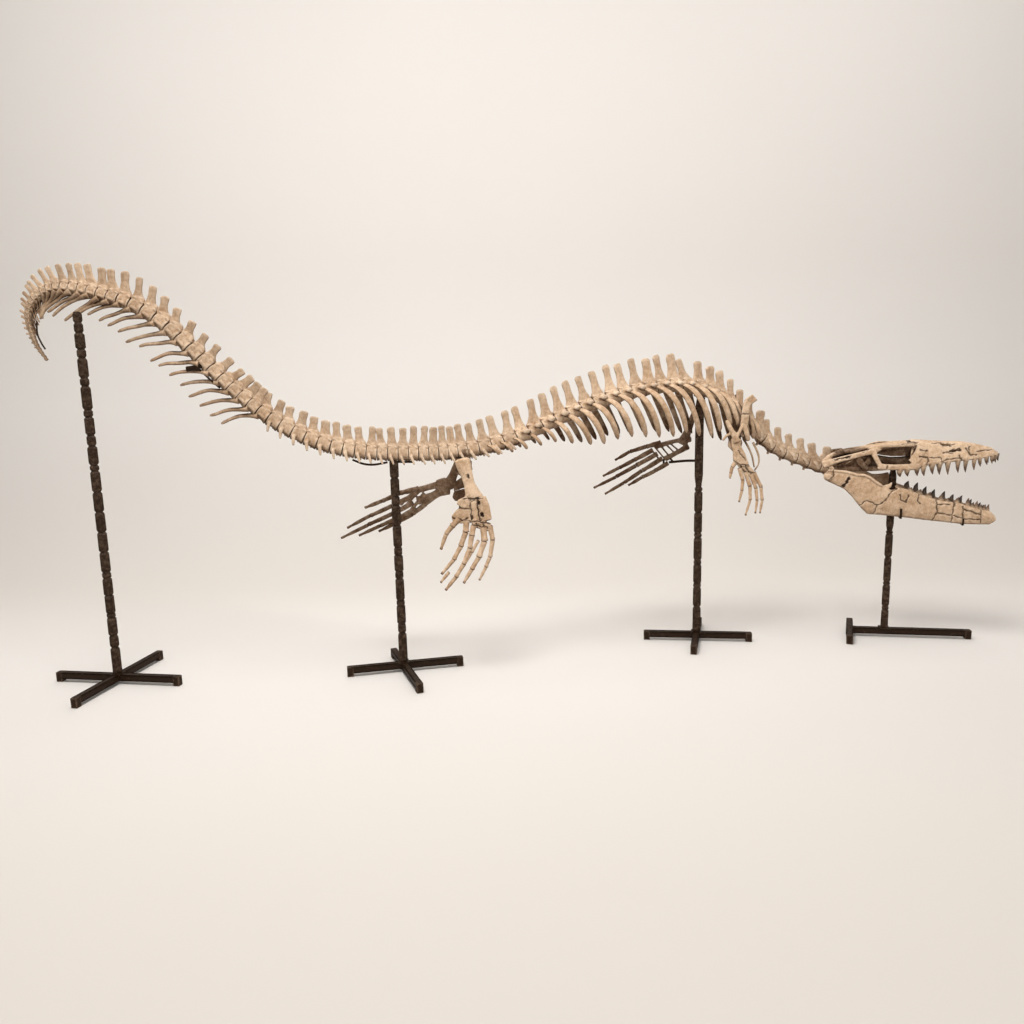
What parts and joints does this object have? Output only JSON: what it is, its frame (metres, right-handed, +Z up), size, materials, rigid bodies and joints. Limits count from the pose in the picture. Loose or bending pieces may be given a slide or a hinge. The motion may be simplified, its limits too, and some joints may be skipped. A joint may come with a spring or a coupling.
{
  "type": "mounted mosasaur skeleton",
  "caption": "Life-size mounted skeleton of a swimming mosasaur, with a toothed skull, ribbed trunk, flippers and long hooked tail, held up by steel posts on crossed feet.",
  "frame": {"origin": "on the floor, under the middle of the whole mount's box", "axes": "+X toward the snout, +Y toward the animal's left, +Z up"},
  "size_m": [4.1714, 0.8832, 1.7575],
  "materials": {
    "bone": "matt fossil bone with darker hollows",
    "steel": "satin dark brown paint"
  },
  "bodies": {
    "root": {"fore_flipper_left": "bone", "fore_flipper_right": "bone", "hind_flipper_left": "bone", "hind_flipper_right": "bone", "lower_jaw_left": "bone", "lower_jaw_right": "bone", "neck": "bone", "pelvis_left": "bone", "pelvis_right": "bone", "shoulder_left": "bone", "shoulder_right": "bone", "skull": "bone", "stand_1_base": "steel", "stand_1_post": "steel", "stand_2_base": "steel", "stand_2_post": "steel", "stand_3_base": "steel", "stand_3_post": "steel", "stand_3_rod": "steel", "stand_4_base": "steel", "stand_4_jaw_bar": "steel", "stand_4_post": "steel", "tail_base": "bone", "tail_bend": "bone", "tail_hook": "bone", "tail_middle": "bone", "tail_rear": "bone", "tail_tip": "bone", "torso_left": "bone", "torso_right": "bone"}
  },
  "joints": []
}
